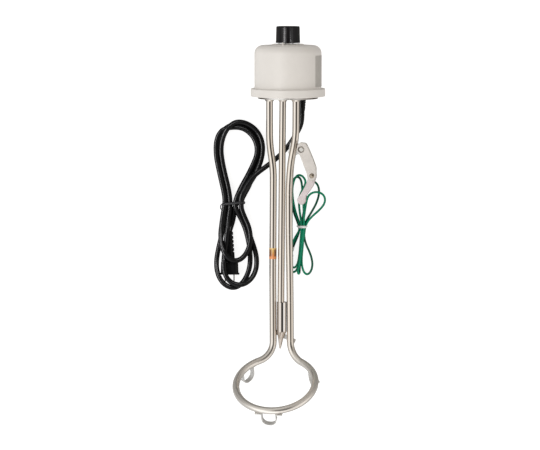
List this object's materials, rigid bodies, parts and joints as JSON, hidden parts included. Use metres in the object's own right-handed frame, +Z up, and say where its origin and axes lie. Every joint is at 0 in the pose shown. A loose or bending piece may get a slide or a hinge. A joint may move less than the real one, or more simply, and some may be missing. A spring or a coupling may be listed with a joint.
{
  "type": "portable immersion water heater",
  "caption": "Immersion heater: capped head with thermostat knob, tube stems, footed ring element, folding rim hook, hanked mains cord with plug and hanked earth wire.",
  "frame": {"origin": "floor point under the middle of the heater, which lies on its back as pictured", "axes": "+Y along the floor towards the head and knob, +X to the side the hook is on, +Z up"},
  "size_m": [0.161, 0.5623, 0.1068],
  "materials": {
    "cap": "satin moulded, off-white",
    "black_plastic": "semi-gloss moulded",
    "steel_polished": "polished stainless",
    "steel_plate": "pressed stainless sheet",
    "hook_grey": "smooth grey coat",
    "screw_steel": "bright plated",
    "rivet_bronze": "dull, darkened",
    "cord_black": "smooth PVC, black",
    "wire_green": "smooth PVC, green",
    "tie_white": "plastic-covered wire",
    "band_orange": "printed sleeve, plain",
    "label": "blank film",
    "brass": "plain",
    "blade_metal": "nickel-washed",
    "copper": "drawn copper",
    "magnesia": "packed powder",
    "ceramic": "glazed ceramic",
    "seal_rubber": "moulded",
    "silicone_red": "sleeving"
  },
  "bodies": {
    "heater": {"base_plate": "steel_plate", "capillary_tube": "copper", "cold_pins": "steel_plate", "cord_gland": "cord_black", "cord_tie": "black_plastic", "dial_ring": "cap", "earth_grommet": "seal_rubber", "earth_lug": "screw_steel", "earth_screw": "brass", "earth_tie": "tie_white", "earth_wire_hank": "wire_green", "earth_wire_lead": "wire_green", "element_sheath": "steel_polished", "end_seals": "seal_rubber", "foot_front": "steel_plate", "foot_left": "steel_plate", "foot_right": "steel_plate", "gland_nut": "black_plastic", "head_cap": "cap", "heating_wire": "steel_plate", "hook_bracket": "steel_plate", "hook_nut": "screw_steel", "hook_screw": "screw_steel", "insulation_fill": "magnesia", "lead_wires": "silicone_red", "level_band": "band_orange", "plate_gasket": "seal_rubber", "plate_screws": "screw_steel", "plug_blades": "blade_metal", "plug_body": "cord_black", "plug_boot": "cord_black", "power_cord_hank": "cord_black", "power_cord_lead": "cord_black", "rating_plate": "label", "sensor_bulb": "copper", "sensor_pocket": "steel_polished", "sensor_tube": "steel_polished", "shaft_seal": "seal_rubber", "stay_strap": "steel_plate", "terminal_block": "ceramic", "thermal_cutout": "ceramic", "thermostat_body": "ceramic", "thermostat_bracket": "steel_plate", "thermostat_screws": "screw_steel", "tube_collars": "steel_polished"},
    "knob_body": {"knob": "black_plastic", "thermostat_shaft": "screw_steel"},
    "hook_upper": {"hook_arm_upper": "hook_grey", "hook_rivet": "rivet_bronze"},
    "hook_lower": {"hook_arm_lower": "hook_grey"}
  },
  "joints": [
    {"name": "knob_turn", "type": "hinge", "parent": "heater", "child": "knob_body", "pos_m": [0.01285, 0.26888, 0.06285], "axis": [0, 0.9929, 0.1191], "range_deg": [0, 270]},
    {"name": "hook_upper_swing", "type": "hinge", "parent": "heater", "child": "hook_upper", "pos_m": [0.03312, 0.10766, 0.04703], "axis": [-0.1693, -0.1173, 0.9785], "range_deg": [-3, 95]},
    {"name": "hook_lower_swing", "type": "hinge", "parent": "hook_upper", "child": "hook_lower", "pos_m": [0.04844, 0.07074, 0.04525], "axis": [-0.1693, -0.1173, 0.9785], "range_deg": [-3, 120]}
  ]
}
